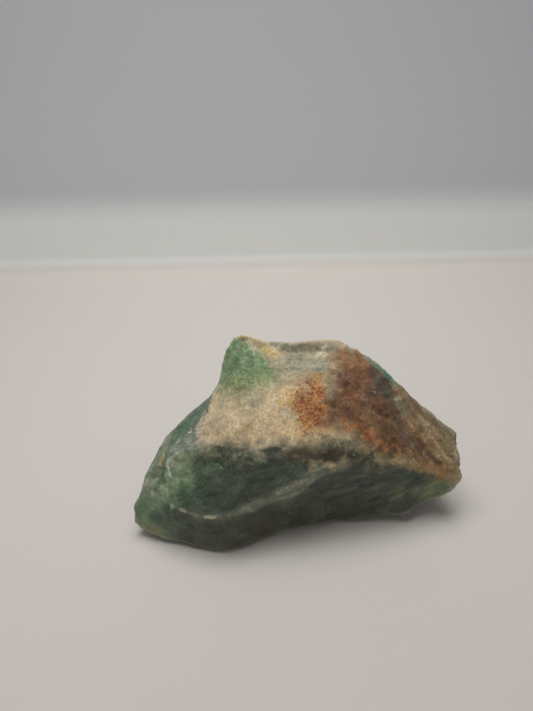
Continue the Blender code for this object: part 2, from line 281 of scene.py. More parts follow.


# Stains and painted light (glows, sheen, highlights and shade), in the order that they lie on each other: in
# balls, along a line of some width, or the whole crust.
# tones: the two or three colours that mottle it. mottle: the noise that mottles it, fine where none is named.
# wander: the noise that bends its border, soft where none is named. edge: half the width of its fade.
# ragged: how far its border wanders. inset: how far in it starts. amount: how much it hides of what is below.
stainsAndPaintedLight = {
    "darkBreak": {
        "balls": [(-6, -18, 18.5, 6.0), (-1.5, -17.5, 18, 5), (-10.5, -20, 13.5, 4.4), (6, -16, 14, 7),
                  (14, -15, 10, 7), (21, -14.5, 9, 6), (-8, -20, 12, 4), (-12, -17.4, 18.5, 3.0)],
        "tones": ((0.036, 0.052, 0.038), (0.064, 0.089, 0.059), (0.116, 0.144, 0.093)),
        "mottle": "streak", "edge": 2.6, "ragged": 2.0, "amount": 0.92},
    "greenBreak": {
        "balls": [(-20.5, -17.6, 13.2, 3.2), (-17, -17.5, 15.8, 2.8), (-23, -17.6, 10.4, 1.8),
                  (-18, -15.5, 17.8, 2.6), (-14.5, -16.6, 19, 1.8)],
        "tones": ((0.042, 0.08, 0.042), (0.072, 0.128, 0.066), (0.118, 0.182, 0.098)),
        "mottle": "streak", "edge": 2.2, "ragged": 1.8, "amount": 0.85},
    "brightBreak": {
        "balls": [(-23.6, -14.4, 13.6, 2.6), (-24.6, -16, 10.9, 1.8), (-21.6, -15.2, 15.2, 1.7),
                  (-20.4, -16.2, 14.0, 1.2)],
        "tones": ((0.188, 0.271, 0.15), (0.301, 0.401, 0.234), (0.427, 0.524, 0.327)),
        "mottle": "streak", "edge": 1.7, "ragged": 1.3, "amount": 0.9},
    "backPale": {
        "balls": [(-10, 15, 13, 3.5), (4, 19, 12, 4.0), (18, 12, 12, 3.0), (-22, 4, 14, 3.0),
                  (10, 18, 6, 2.5)],
        "tones": ((0.115, 0.16, 0.105), (0.19, 0.245, 0.165), (0.28, 0.33, 0.235)),
        "mottle": "streak", "edge": 1.8, "ragged": 2.8, "amount": 0.7},
    "backDark": {
        "balls": [(-3, 18, 8, 3.5), (13, 16, 14, 3.0), (-16, 12, 8, 3.0), (22, 6, 10, 3.0),
                  (-25, 0, 7, 2.5)],
        "tones": ((0.04, 0.058, 0.042), (0.075, 0.1, 0.07)),
        "mottle": "middle", "edge": 1.8, "ragged": 2.8, "amount": 0.7},
    "haze": {
        "balls": [(-11.1, -18.9, 16.5, 1.5), (-14.5, -18.6, 14.8, 1.1), (-10.7, -18.1, 18.2, 1.2),
                  (-18.2, -16.8, 15.4, 1.4), (-15.9, -17.6, 16.6, 1.1), (-2.7, -18.6, 16.2, 1.3),
                  (0.2, -17.9, 17.3, 1.4), (-8.1, -19.7, 14.2, 0.9), (17.3, -15.0, 14.8, 1.5)],
        "tones": ((0.1, 0.122, 0.095), (0.165, 0.192, 0.15)),
        "mottle": "streak", "edge": 1.3, "ragged": 1.4, "amount": 0.68},
    "greenShade": {
        "balls": [(-15.3, -19.9, 12.8, 2.4), (-17.5, -19.1, 13.2, 1.8), (-13.6, -20.7, 12.2, 1.8),
                  (-11.8, -20.4, 13.0, 1.6)],
        "tones": ((0.033, 0.05, 0.034), (0.054, 0.078, 0.052), (0.08, 0.108, 0.072)),
        "mottle": "streak", "edge": 1.3, "ragged": 1.2, "amount": 0.85},
    "underBelly": {
        "balls": [(-14, -21, 4.0, 5), (-6, -19.5, 5.6, 5), (1, -18, 6.2, 5), (-20, -20, 3, 3.6),
                  (8, -15.5, 4.5, 5)],
        "tones": ((0.04, 0.041, 0.026), (0.06, 0.062, 0.039), (0.082, 0.08, 0.054)),
        "mottle": "middle", "edge": 1.5, "ragged": 1.5, "amount": 0.85},
    "greenBelly": {
        "balls": [(-15, -20.6, 4.4, 2.0), (-11.5, -20.3, 3.0, 1.6)],
        "tones": ((0.045, 0.068, 0.042), (0.08, 0.105, 0.066)),
        "mottle": "middle", "edge": 1.4, "ragged": 1.3, "amount": 0.7},
    "bellyStain": {
        "balls": [(-7, -19, 4.0, 2.2), (-3.5, -18.6, 6.0, 1.2)],
        "tones": ((0.085, 0.048, 0.032), (0.06, 0.046, 0.032)),
        "edge": 1.2, "ragged": 1.5, "amount": 0.6},
    "leftToe": {
        "balls": [(-29.6, -16.0, 7.0, 3.1), (-26.6, -18.2, 6, 2.2), (-27.0, -16.2, 9.0, 1.6)],
        "tones": ((0.13, 0.21, 0.122), (0.192, 0.292, 0.168), (0.262, 0.366, 0.21)),
        "mottle": "middle", "edge": 2.0, "ragged": 0.8, "amount": 0.92},
    "toeShade": {
        "balls": [(-24.2, -18.8, 7.9, 1.8), (-21.5, -19.8, 8.4, 1.5), (-26.6, -18.2, 6.0, 1.5),
                  (-24.7, -18.7, 6.4, 1.4), (-27.8, -17.4, 5.6, 1.1)],
        "tones": ((0.036, 0.06, 0.036), (0.064, 0.096, 0.058)),
        "edge": 1.2, "ragged": 0.8, "amount": 0.82},
    # painted glow: light that the floor throws up into the toe's lowest edge
    "toeGlow": {
        "balls": [(-28.5, -18, 1.0, 2.4), (-31.5, -16.5, 2.0, 1.6)],
        "tones": ((0.31, 0.275, 0.115), (0.25, 0.255, 0.11)),
        "mottle": "middle", "edge": 1.4, "ragged": 0.8, "amount": 0.75},
    "underRight": {
        "balls": [(15, -15, 4.5, 2.4), (20.5, -14.8, 4.2, 2.2), (9, -15.6, 6, 2.2)],
        "tones": ((0.032, 0.042, 0.027), (0.056, 0.07, 0.045)),
        "mottle": "streak", "edge": 1.6, "ragged": 1.2, "amount": 0.8},
    "rightPale": {
        "balls": [(16.4, -15.1, 12.1, 1.4), (13.8, -15.4, 13.0, 1.0), (15.4, -15.1, 9.4, 1.2),
                  (9.4, -15.3, 7.2, 1.2)],
        "tones": ((0.075, 0.088, 0.056), (0.125, 0.138, 0.09)),
        "mottle": "streak", "edge": 1.2, "ragged": 0.9, "amount": 0.75},
    # painted glow: light shining through the thin right tip
    "rightGlow": {
        "balls": [(26.6, -14, 6.2, 2.0), (29.8, -14, 7.6, 3.4), (19.8, -14.7, 8.0, 0.9),
                  (23.4, -13.9, 7.2, 0.7), (27.9, -13.6, 8.2, 2.8)],
        "tones": ((0.15, 0.205, 0.1), (0.25, 0.31, 0.145), (0.41, 0.45, 0.2)),
        "mottle": "streak", "edge": 2.2, "ragged": 1.2, "amount": 0.82},
    "leftStrip": {
        "line": [(-15.5, -2, 24), (-19, -3.5, 20), (-22, -5, 18), (-24.8, -8.5, 16), (-27.5, -12, 12.5)],
        "width": 2.4,
        "tones": ((0.07, 0.125, 0.078), (0.1, 0.172, 0.1), (0.15, 0.225, 0.135)),
        "edge": 0.6, "ragged": 0.6, "amount": 0.9},
    "leftFacet": {
        "line": [(-17.8, -9.6, 21.8), (-20.2, -11.0, 19.6), (-18.7, -13.5, 19.4), (-20.5, -13.1, 18.0),
                 (-22.2, -11.9, 17.8), (-22.0, -9.9, 18.3), (-24.3, -12.4, 15.2)],
        "width": 1.4,
        "tones": ((0.16, 0.2, 0.14), (0.262, 0.31, 0.226), (0.39, 0.42, 0.322)),
        "mottle": "streak", "edge": 0.7, "ragged": 0.9, "amount": 0.85},
    "edgeHatch": {
        "line": [(-17.0, -7.4, 23.5), (-17.7, -9.2, 22.2), (-18.2, -10.4, 21.2), (-19.0, -9.6, 20.8),
                 (-20.0, -9.0, 19.9), (-21.4, -8.8, 18.8), (-22.6, -9.6, 17.9)],
        "width": 0.6,
        "tones": ((0.04, 0.06, 0.05), (0.075, 0.105, 0.088), (0.76, 0.78, 0.69)),
        "mottle": "grain", "wander": "fine", "edge": 0.4, "ragged": 0.6, "amount": 0.85},
    "facetGlow": {
        "balls": [(-21.8, -13.5, 16.6, 1.7), (-20.2, -14.2, 17.2, 1.0)],
        "tones": ((0.255, 0.315, 0.175), (0.365, 0.425, 0.24)),
        "mottle": "streak", "edge": 1.0, "ragged": 0.5, "amount": 0.85},
    # pale band along the left rim: painted sheen of light grazing it
    "leftRim": {
        "line": [(-25.2, -7.6, 16.2), (-26.2, -10.6, 14.6), (-27.1, -11.9, 13.1), (-28.1, -13.0, 11.3),
                 (-29.2, -14.4, 9.9)],
        "width": 1.2,
        "tones": ((0.24, 0.275, 0.185), (0.345, 0.37, 0.26)),
        "edge": 0.6, "ragged": 0.6, "amount": 0.75},
    "leftEdgeLine": {
        "line": [(-14.6, -3.6, 26.2), (-15.2, -4.4, 25.6), (-17.6, -9.6, 22.4)],
        "width": 0.35,
        "tones": ((0.06, 0.085, 0.072), (0.11, 0.135, 0.112)),
        "edge": 0.35, "ragged": 0.5, "amount": 0.7},
    # pale band along the front crest: painted highlight
    "crestRight": {
        "line": [(-9.4, -20.8, 11.2), (-6.8, -20.2, 12.2), (-3.1, -19.4, 13.2), (0.0, -18.6, 14.5),
                 (2.8, -17.7, 16.4), (5.4, -16.9, 17.4), (9.2, -16.3, 17.3)],
        "width": 1.35,
        "tones": ((0.172, 0.187, 0.131), (0.308, 0.317, 0.224), (0.448, 0.442, 0.315)),
        "mottle": "streak", "edge": 1.0, "ragged": 0.8, "amount": 0.85},
    # thin pale line along the crest: painted highlight
    "crestLeft": {
        "line": [(-28, -15.1, 10.0), (-25.3, -16.8, 9.8), (-23.2, -18.5, 9.7), (-21.6, -19.5, 9.7),
                 (-19.3, -20.6, 9.5), (-17.4, -21.0, 9.4), (-15.5, -21.5, 9.8), (-13.7, -21.6, 10.4),
                 (-10.9, -21.4, 10.8), (-8.2, -20.6, 10.7)],
        "width": 0.45,
        "tones": ((0.15, 0.175, 0.108), (0.25, 0.27, 0.172), (0.35, 0.352, 0.235)),
        "edge": 0.5, "ragged": 0.6, "amount": 0.68},
    # the same crest on the toe: painted highlight
    "toeLine": {
        "line": [(-28.1, -14.9, 10.2), (-26.3, -16.0, 10.0), (-24.9, -17.1, 9.8), (-23.6, -18.1, 9.8)],
        "width": 0.5,
        "tones": ((0.24, 0.305, 0.195), (0.37, 0.435, 0.29)),
        "edge": 0.4, "ragged": 0.4, "amount": 0.78},
    "sandCrust": {
        "crust": True,
        "tones": ((0.49, 0.379, 0.231), (0.616, 0.468, 0.289), (0.74, 0.565, 0.357)),
        "mottle": "middle", "edge": 0.6, "ragged": 1.3, "amount": 0.97},
    "backSand": {
        "balls": [(-4, 8, 27, 5.0), (6, 10, 24, 5.5), (14, 7, 23, 4.0), (-9, 5, 30, 3.5), (1, 5, 30, 3.0)],
        "tones": ((0.3, 0.262, 0.17), (0.43, 0.365, 0.24), (0.56, 0.455, 0.305)),
        "mottle": "broad", "edge": 2.0, "ragged": 3.0, "amount": 0.65},
    "backRust": {
        "balls": [(8, 4, 29, 2.6), (12, 8, 24, 2.2), (1.5, 9, 26, 1.8), (-5, 10, 24.5, 1.4)],
        "tones": ((0.24, 0.12, 0.055), (0.38, 0.22, 0.105), (0.5, 0.33, 0.175)),
        "edge": 1.2, "ragged": 2.6, "amount": 0.6},
    "sandFade": {
        "line": [(-16.5, -15.6, 20.4), (-12, -16.3, 21.2), (-6.5, -17.3, 21.2), (0, -17.2, 21.2),
                 (4, -16.4, 21.6)],
        "width": 0.9,
        "tones": ((0.13, 0.138, 0.09), (0.27, 0.258, 0.17), (0.44, 0.39, 0.258)),
        "mottle": "grain", "edge": 1.1, "ragged": 1.6, "amount": 0.64},
    "warmSand": {
        "balls": [(-3.5, -11.5, 26.4, 3.0), (-1, -14, 24, 2.6), (-2, -9, 28, 1.8), (2.5, -15, 23.5, 2),
                  (-7, -13.6, 24.6, 1.6)],
        "tones": ((0.659, 0.481, 0.279), (0.799, 0.578, 0.329), (0.918, 0.702, 0.432)),
        "mottle": "middle", "edge": 1.8, "ragged": 1.6, "amount": 0.82},
    "yellowBand": {
        "line": [(-14, -13.8, 22.8), (-10, -14, 23.6), (-5, -15, 23.4), (-1, -15.3, 23.4)],
        "width": 0.5,
        "tones": ((0.56, 0.44, 0.22), (0.64, 0.5, 0.26)),
        "edge": 0.8, "ragged": 1.0, "amount": 0.45},
    "greySand": {
        "balls": [(-14.1, -7.9, 25.2, 1.3), (-7.8, -9.4, 26.9, 1.4), (-12, -6, 27.3, 1.3),
                  (-5.8, -13.6, 24.6, 0.8), (-15, -10.6, 23.6, 0.9)],
        "tones": ((0.351, 0.329, 0.236), (0.448, 0.405, 0.29)),
        "edge": 1.0, "ragged": 1.6, "amount": 0.6},
    "greenSand": {
        "balls": [(-9.5, -7.5, 28, 2.6), (-5, -5.5, 29.5, 2.4), (-13.5, -6, 26.8, 1.6)],
        "tones": ((0.3, 0.305, 0.17), (0.39, 0.37, 0.215), (0.48, 0.43, 0.265)),
        "edge": 1.8, "ragged": 1.3, "amount": 0.75},
    "rustHalo": {
        "balls": [(2.6, -12.4, 25.3, 3.0), (1.2, -14.4, 23.8, 2.2), (5.2, -13.6, 24.2, 1.8),
                  (-0.6, -11.0, 26.8, 2.2), (0.2, -9.0, 28.0, 2.0), (5.2, -6.0, 29.1, 1.3)],
        "tones": ((0.6, 0.35, 0.142), (0.77, 0.51, 0.25)),
        "edge": 1.6, "ragged": 1.7, "amount": 0.62},
    "paleEdge": {
        "line": [(-17.3, -7.0, 22.4), (-17.8, -9.6, 21.6), (-18.0, -12.3, 20.8), (-16.8, -14.4, 20.9)],
        "width": 0.9,
        "tones": ((0.56, 0.45, 0.3), (0.68, 0.56, 0.39)),
        "edge": 0.7, "ragged": 0.8, "amount": 0.7},
    "cornerGreen": {
        "balls": [(-17.1, -14.5, 20.1, 0.8), (-15.8, -15.5, 20.3, 0.8), (-17.8, -13.6, 20.2, 0.7)],
        "tones": ((0.22, 0.235, 0.155), (0.36, 0.37, 0.255)),
        "edge": 0.8, "ragged": 0.6, "amount": 0.85},
    "sandLip": {
        "line": [(-1.8, -16.3, 22.8), (0.6, -16.1, 22.8), (3.6, -15.6, 22.7), (7.0, -14.8, 22.2),
                 (10.2, -14.3, 21.0), (13.1, -13.9, 19.6)],
        "width": 0.9,
        "tones": ((0.47, 0.392, 0.235), (0.665, 0.552, 0.342), (0.8, 0.675, 0.445)),
        "mottle": "grain", "edge": 0.8, "ragged": 1.3, "amount": 0.8},
    "darkBites": {
        "balls": [(-12.6, -15.6, 22.0, 1.2), (-9.2, -16.2, 22.2, 0.9), (-4.2, -16.9, 22.0, 0.8),
                  (-14.8, -15.4, 21.4, 0.7), (-7.0, -15.9, 22.8, 0.7), (-2.6, -15.8, 22.9, 0.8),
                  (-13.2, -17.0, 19.2, 1.1), (-11.1, -17.6, 18.9, 1.1), (-17.0, -15.6, 18.5, 1.3),
                  (-15.4, -16.6, 18.8, 1.1), (-19.0, -14.9, 17.4, 0.9)],
        "tones": ((0.055, 0.08, 0.05), (0.14, 0.158, 0.104)),
        "mottle": "grain", "edge": 1.0, "ragged": 1.4, "amount": 0.72},
    "sandTongue": {
        "balls": [(-7.0, -17.2, 21.4, 1.1), (-6.2, -17.4, 20.6, 0.7)],
        "tones": ((0.286, 0.28, 0.185), (0.546, 0.501, 0.341)),
        "mottle": "grain", "edge": 0.9, "ragged": 1.3, "amount": 0.8},
    "underCrust": {
        "line": [(-1.0, -17.1, 20.4), (2.6, -16.9, 20.2), (5, -16.6, 20.0), (8.3, -15.9, 19.0),
                 (12.1, -15.5, 17.2), (16, -15.3, 15.2)],
        "width": 1.3,
        "tones": ((0.055, 0.047, 0.029), (0.118, 0.098, 0.057), (0.24, 0.195, 0.112)),
        "edge": 1.0, "ragged": 1.6, "amount": 0.85},
    "oliveLip": {
        "line": [(5.2, -15.7, 22.0), (8.4, -14.9, 21.5), (10.2, -14.8, 20.3), (12.6, -14.4, 19.2),
                 (15.1, -13.8, 18.3), (17.0, -14.0, 17.0), (18.8, -14.1, 15.9)],
        "width": 1.0,
        "tones": ((0.17, 0.145, 0.084), (0.29, 0.246, 0.144), (0.45, 0.385, 0.235)),
        "edge": 0.9, "ragged": 1.0, "amount": 0.86},
    "lipWarm": {
        "balls": [(10.7, -13.4, 21.9, 1.1), (12.6, -13.9, 20.2, 1.2), (16.0, -14.4, 17.2, 1.0),
                  (14.5, -13.8, 18.8, 1.1)],
        "tones": ((0.28, 0.215, 0.115), (0.45, 0.33, 0.186)),
        "edge": 0.8, "ragged": 0.7, "amount": 0.82},
    "shelf": {
        "balls": [(0.5, -2.5, 31, 3.0), (4, -2.8, 30.8, 2.6), (-2.3, -3.2, 30.8, 2.0)],
        "tones": ((0.245, 0.248, 0.178), (0.35, 0.338, 0.243), (0.46, 0.428, 0.303)),
        "mottle": "layers", "edge": 1.2, "ragged": 1.0, "amount": 0.88},
    "kneeBand": {
        "line": [(-7.1, -0.8, 33.6), (-4.9, -2.0, 31.6), (-2.6, -3.0, 31.0), (-1.6, -4.4, 30.3),
                 (-1.8, -6.2, 29.4)],
        "width": 1.0,
        "tones": ((0.44, 0.385, 0.24), (0.56, 0.485, 0.315)),
        "edge": 0.8, "ragged": 0.8, "amount": 0.75},
    # darker band on the scarp under the back rim: painted shade
    "underRim": {
        "line": [(-4.5, 0.6, 32.8), (-1, 0.8, 31.9), (2.9, 0.9, 31.9), (7.5, 0.9, 32.0)],
        "width": 1.2,
        "tones": ((0.225, 0.212, 0.138), (0.32, 0.292, 0.198), (0.4, 0.362, 0.246)),
        "edge": 0.5, "ragged": 0.5, "amount": 0.85},
    "brownVeil": {
        "balls": [(6.4, -9.8, 26.8, 2.1), (6.6, -12, 25.2, 2.2), (7.6, -13.2, 23.8, 1.1),
                  (4.9, -11, 26.2, 1.4), (4.9, -8, 28.1, 0.9), (4.9, -13.0, 24.8, 1.2)],
        "tones": ((0.11, 0.052, 0.024), (0.2, 0.1, 0.044), (0.3, 0.175, 0.08)),
        "edge": 1.1, "ragged": 1.8, "amount": 0.86},
    "brownFace": {
        "balls": [(12.4, -1.0, 30.7, 2.1), (10.0, -0.9, 31.0, 1.9), (10.9, -4.5, 29.0, 3.6),
                  (9.6, -9.3, 27, 3.5), (14.5, -5, 27.5, 4.5), (14, -10, 23.5, 5),
                  (11.8, -12.4, 22.2, 1.7), (19, -8, 24, 4.2), (19, -11.5, 20, 4.4), (24.5, -11, 17, 3.6),
                  (28.5, -12.5, 12.6, 2.8)],
        "tones": ((0.11, 0.04, 0.016), (0.235, 0.098, 0.037), (0.4, 0.205, 0.084)),
        "mottle": "middle", "edge": 1.2, "ragged": 1.8, "amount": 0.95},
    "redTint": {
        "balls": [(7.6, -6.2, 28.6, 1.1), (9.3, -7.1, 27.5, 1.8), (7, -8.8, 27.3, 1.0),
                  (10.6, -11.4, 24.4, 1.5), (13.4, -12.3, 21.6, 0.9), (8.2, -11.0, 25.2, 1.3),
                  (13.4, -2.0, 30.1, 1.0), (11.4, -3.6, 29.6, 1.0)],
        "tones": ((0.16, 0.049, 0.019), (0.27, 0.108, 0.04), (0.35, 0.186, 0.074)),
        "edge": 1.3, "ragged": 2.2, "amount": 0.78},
    "tanPatches": {
        "balls": [(10.8, -0.6, 31.0, 0.9), (14.6, -9.5, 24.1, 1.2), (9.0, -4.0, 29.8, 1.1),
                  (7.6, -8.6, 26.9, 1.0), (13.0, -7.6, 26.0, 0.8), (16.7, -12.0, 19.6, 1.4),
                  (22, -12.4, 16.6, 0.7), (14.9, -12.0, 20.8, 1.2), (13.4, -9.7, 24.3, 1.2),
                  (7.5, -1.8, 31.0, 1.3)],
        "tones": ((0.24, 0.15, 0.076), (0.35, 0.235, 0.125)),
        "edge": 1.0, "ragged": 1.5, "amount": 0.78},
    "brownShade": {
        "balls": [(9.6, -5.8, 28.6, 1.5), (11.4, -6.2, 27.6, 1.2), (8.6, -5.0, 29.3, 0.9),
                  (14.2, -6.6, 26.4, 1.4)],
        "tones": ((0.06, 0.028, 0.014), (0.13, 0.062, 0.031), (0.21, 0.11, 0.058)),
        "edge": 1.0, "ragged": 1.5, "amount": 0.82},
    "violetPatches": {
        "balls": [(9.6, -10.4, 25.0, 1.2), (15.2, -6.6, 26.4, 1.1), (16.2, -10.8, 22.0, 0.9),
                  (6.9, -9.8, 26.4, 0.9), (20.5, -12.4, 17.6, 1.2), (12, -4.4, 29.2, 0.8),
                  (6.4, -11.4, 25.4, 0.9), (18.5, -12.7, 17.8, 0.9)],
        "tones": ((0.05, 0.026, 0.017), (0.11, 0.052, 0.032)),
        "edge": 1.0, "ragged": 1.9, "amount": 0.7},
    "oliveFlank": {
        "line": [(19.6, -2.6, 27), (22.2, -5.6, 23.6), (24.6, -7.6, 20.6), (27.2, -9.4, 17.6),
                 (30, -11.2, 14.2), (31.4, -12.2, 11.6)],
        "width": 2.5,
        "tones": ((0.185, 0.128, 0.064), (0.34, 0.235, 0.122), (0.52, 0.385, 0.22)),
        "mottle": "fall", "edge": 0.5, "ragged": 0.9, "amount": 0.93},
    "flankCorner": {
        "balls": [(31, -9.5, 15, 2.6), (28, -6.5, 18.6, 2.4), (28.8, -9.2, 18.4, 1.6),
                  (29.8, -8.9, 18.0, 1.6)],
        "tones": ((0.18, 0.14, 0.072), (0.335, 0.262, 0.145)),
        "mottle": "fall", "edge": 0.9, "ragged": 1.0, "amount": 0.85},
    "behindRim": {
        "balls": [(16.2, 0.4, 29.8, 2.1), (18.4, -0.8, 28.2, 2.2), (20.6, -2.0, 26.4, 1.9),
                  (22.6, -3.2, 24.2, 1.6)],
        "tones": ((0.075, 0.118, 0.078), (0.125, 0.185, 0.125), (0.19, 0.265, 0.185)),
        "mottle": "middle", "edge": 0.8, "ragged": 1.3, "amount": 0.9},
    "flankWarm": {
        "line": [(20.8, -8.3, 22.0), (22.0, -8.8, 20.8), (23.2, -9.2, 19.6), (24.8, -10.0, 17.9),
                 (26.6, -10.9, 15.9)],
        "width": 1.1,
        "tones": ((0.28, 0.158, 0.068), (0.425, 0.27, 0.128), (0.57, 0.4, 0.212)),
        "mottle": "fall", "edge": 0.6, "ragged": 1.0, "amount": 0.84},
    "flankRose": {
        "balls": [(22.1, -5.9, 23.9, 1.5), (23.6, -7.0, 22.0, 1.1)],
        "tones": ((0.225, 0.135, 0.078), (0.385, 0.24, 0.15)),
        "mottle": "fall", "edge": 0.7, "ragged": 0.9, "amount": 0.75},
    "flankPale": {
        "balls": [(25.4, -10.0, 17.6, 1.0), (27.0, -11.4, 15.2, 0.8), (24.4, -8.3, 19.8, 1.1)],
        "tones": ((0.36, 0.262, 0.15), (0.51, 0.375, 0.22)),
        "mottle": "fall", "edge": 0.8, "ragged": 0.6, "amount": 0.8},
    # darker band along the crest where the right flank turns away: painted shade
    "darkCrest": {
        "line": [(15.5, -4.9, 27.7), (17.6, -6.9, 25.4), (17.9, -8.6, 23.3), (18.9, -9.8, 21.2),
                 (20.9, -11.0, 18.7), (22.8, -11.8, 16.5), (25.4, -12.5, 14.1)],
        "width": 1.2,
        "tones": ((0.092, 0.068, 0.047), (0.17, 0.118, 0.076), (0.275, 0.19, 0.114)),
        "mottle": "fall", "edge": 0.8, "ragged": 1.1, "amount": 0.88},
    "blackTop": {
        "balls": [(15.0, -3.6, 29.0, 1.2), (16.9, -4.9, 27.5, 1.4), (17.5, -6.5, 26.0, 1.1),
                  (18.0, -5.4, 26.8, 0.9)],
        "tones": ((0.032, 0.031, 0.021), (0.086, 0.064, 0.039)),
        "edge": 0.9, "ragged": 1.4, "amount": 0.88},
    "rustSpeckle": {
        "balls": [(2.8, -7.0, 28.7, 1.3), (3.6, -5.8, 29.3, 1.1), (2.4, -9.8, 27.2, 2.2),
                  (2.6, -12.4, 25.2, 2.1), (3.9, -11.5, 26, 2.0), (3.7, -8.6, 27.8, 1.8),
                  (0.9, -9.1, 27.9, 1.4), (0.7, -10.9, 26.7, 1.5)],
        "tones": ((0.32, 0.094, 0.02), (0.46, 0.175, 0.04), (0.59, 0.295, 0.085)),
        "wander": "fine", "edge": 1.3, "ragged": 2.0, "amount": 0.86},
    "rustSpecks": {
        "balls": [(3.0, -7.2, 28.6, 1.9), (3.5, -6.2, 29.1, 1.5), (1.0, -9.8, 27.3, 2.9),
                  (1.8, -12.8, 24.9, 2.4), (3.4, -11.7, 25.8, 2.7), (3.8, -8.4, 28, 2.2)],
        "tones": ((0.15, 0.03, 0.01), (0.32, 0.07, 0.02)),
        "mottle": "middle", "wander": "speck", "edge": 1.0, "ragged": 2.0, "inset": 2.1, "amount": 0.88},
    "greyGap": {
        "line": [(6.6, -5.6, 29.0), (6.7, -6.9, 28.3), (6.4, -8.4, 27.5)],
        "width": 0.9,
        "tones": ((0.22, 0.18, 0.118), (0.35, 0.285, 0.19)),
        "wander": "fine", "edge": 0.7, "ragged": 1.1, "amount": 0.75},
    "brownSpecks": {
        "balls": [(9.6, -5.8, 28.4, 3.4), (9.4, -9.6, 26.6, 3.2), (13.5, -6.5, 27, 3.2),
                  (12, -12, 23.4, 2.6), (16, -12.6, 19.6, 2.6), (21, -12.4, 17, 2.0)],
        "tones": ((0.12, 0.03, 0.013), (0.26, 0.085, 0.032)),
        "mottle": "broad", "wander": "speck", "edge": 1.0, "ragged": 2.0, "inset": 4.0, "amount": 0.7},
    "brownDust": {
        "balls": [(10.6, -4.8, 29, 3.6), (10.4, -9.2, 26.6, 3.4), (14.5, -6.5, 27, 3.4),
                  (14, -11, 23, 3.0), (18.5, -10.0, 21.6, 2.4)],
        "tones": ((0.42, 0.29, 0.17), (0.5, 0.37, 0.235)),
        "mottle": "broad", "wander": "dust", "edge": 0.4, "ragged": 5.5, "inset": 4.8, "amount": 0.55},
    "rustGold": {
        "balls": [(3.8, -5.7, 29.4, 0.6), (1.8, -13.2, 24.8, 0.6), (-0.6, -9.4, 27.8, 0.5)],
        "tones": ((0.6, 0.3, 0.07), (0.66, 0.43, 0.15)),
        "edge": 0.7, "ragged": 1.2, "amount": 0.6},
    "redBand": {
        "line": [(8.8, -12.2, 23.7), (11.3, -12.6, 22.1), (13.4, -12.8, 20.8), (14.9, -12.9, 19.6),
                 (16.5, -13.2, 18.2)],
        "width": 0.7,
        "tones": ((0.28, 0.078, 0.028), (0.44, 0.165, 0.058), (0.56, 0.29, 0.115)),
        "mottle": "fall", "edge": 0.8, "ragged": 1.6, "amount": 0.82},
    "orangeFoot": {
        "line": [(18.8, -13.8, 16.2), (21, -13.9, 14.9), (24.2, -13.4, 13.5), (27, -13.0, 12.3),
                 (30, -12.8, 11.5)],
        "width": 1.0,
        "tones": ((0.37, 0.205, 0.08), (0.53, 0.322, 0.13), (0.64, 0.43, 0.195)),
        "mottle": "fall", "edge": 0.7, "ragged": 0.7, "amount": 0.85},
    "footStreaks": {
        "line": [(17.5, -12.6, 18.6), (20.8, -12.7, 16.8), (24.4, -12.6, 14.4), (28, -12.8, 12)],
        "width": 0.5,
        "tones": ((0.33, 0.17, 0.075), (0.43, 0.25, 0.115)),
        "mottle": "fall", "wander": "fall", "edge": 0.5, "ragged": 2.0, "amount": 0.8},
    "footPale": {
        "balls": [(21.6, -13.9, 14.9, 1.0), (19.9, -13.9, 15.7, 1.1), (30.4, -12.9, 10.2, 1.5)],
        "tones": ((0.37, 0.285, 0.15), (0.49, 0.385, 0.208)),
        "edge": 0.8, "ragged": 0.5, "amount": 0.85},
    "greyPatch": {
        "line": [(19.3, -7.0, 24.7), (20.1, -7.6, 23.4), (21.0, -8.2, 22.2)],
        "width": 0.8,
        "tones": ((0.27, 0.255, 0.148), (0.4, 0.36, 0.214)),
        "edge": 0.4, "ragged": 0.6, "amount": 0.86},
    # teal sliver on the back rim: the green stone's own colour, with a painted glow of light through the thin
    # edge
    "tealRim": {
        "line": [(13.8, -0.7, 30.8), (15.3, -1.9, 29.9), (16.9, -2.9, 28.8), (19.6, -3.8, 26.6)],
        "width": 0.58,
        "tones": ((0.09, 0.2, 0.142), (0.145, 0.28, 0.203)),
        "edge": 0.35, "ragged": 0.5, "amount": 0.85},
    "knobFade": {
        "balls": [(-9.5, -6.0, 28.6, 2.2), (-12.0, -5.2, 27.8, 2.1), (-6.2, -6.2, 28.8, 1.7),
                  (-14.4, -4.2, 26.8, 1.6)],
        "tones": ((0.37, 0.375, 0.21), (0.43, 0.432, 0.242), (0.49, 0.478, 0.286)),
        "mottle": "grain", "edge": 1.5, "ragged": 1.0, "amount": 0.8},
    "greenKnob": {
        "balls": [(-9.6, -3.7, 31.9, 2.9), (-11.8, -3.2, 31, 3.1), (-8.0, -2.7, 32.6, 1.9),
                  (-9.3, -1.9, 34.0, 1.6), (-6.6, -3.6, 31.2, 1.7), (-5.6, -4.6, 30.2, 1.5),
                  (-8.6, -4.9, 30.0, 2.0), (-11.8, -4, 29.4, 2.2), (-10.6, -1.2, 34.6, 1.5),
                  (-11, 1.5, 31.5, 4), (-14.2, -1.8, 28.0, 1.3), (-13.2, -2.6, 32, 1.6)],
        "tones": ((0.21, 0.33, 0.164), (0.262, 0.392, 0.204), (0.312, 0.446, 0.244)),
        "edge": 0.8, "ragged": 0.5, "amount": 0.95},
    # lighter green down the knob's left side, which turns away from the lamp: painted light
    "knobSide": {
        "line": [(-12.6, -1.1, 33.4), (-13.7, -1.2, 30.8), (-14.2, -1.8, 28.8), (-14.2, -3.2, 27.4)],
        "width": 1.3,
        "tones": ((0.3, 0.435, 0.225), (0.35, 0.49, 0.265)),
        "edge": 1.2, "ragged": 0.5, "amount": 0.75},
    "knobFoot": {
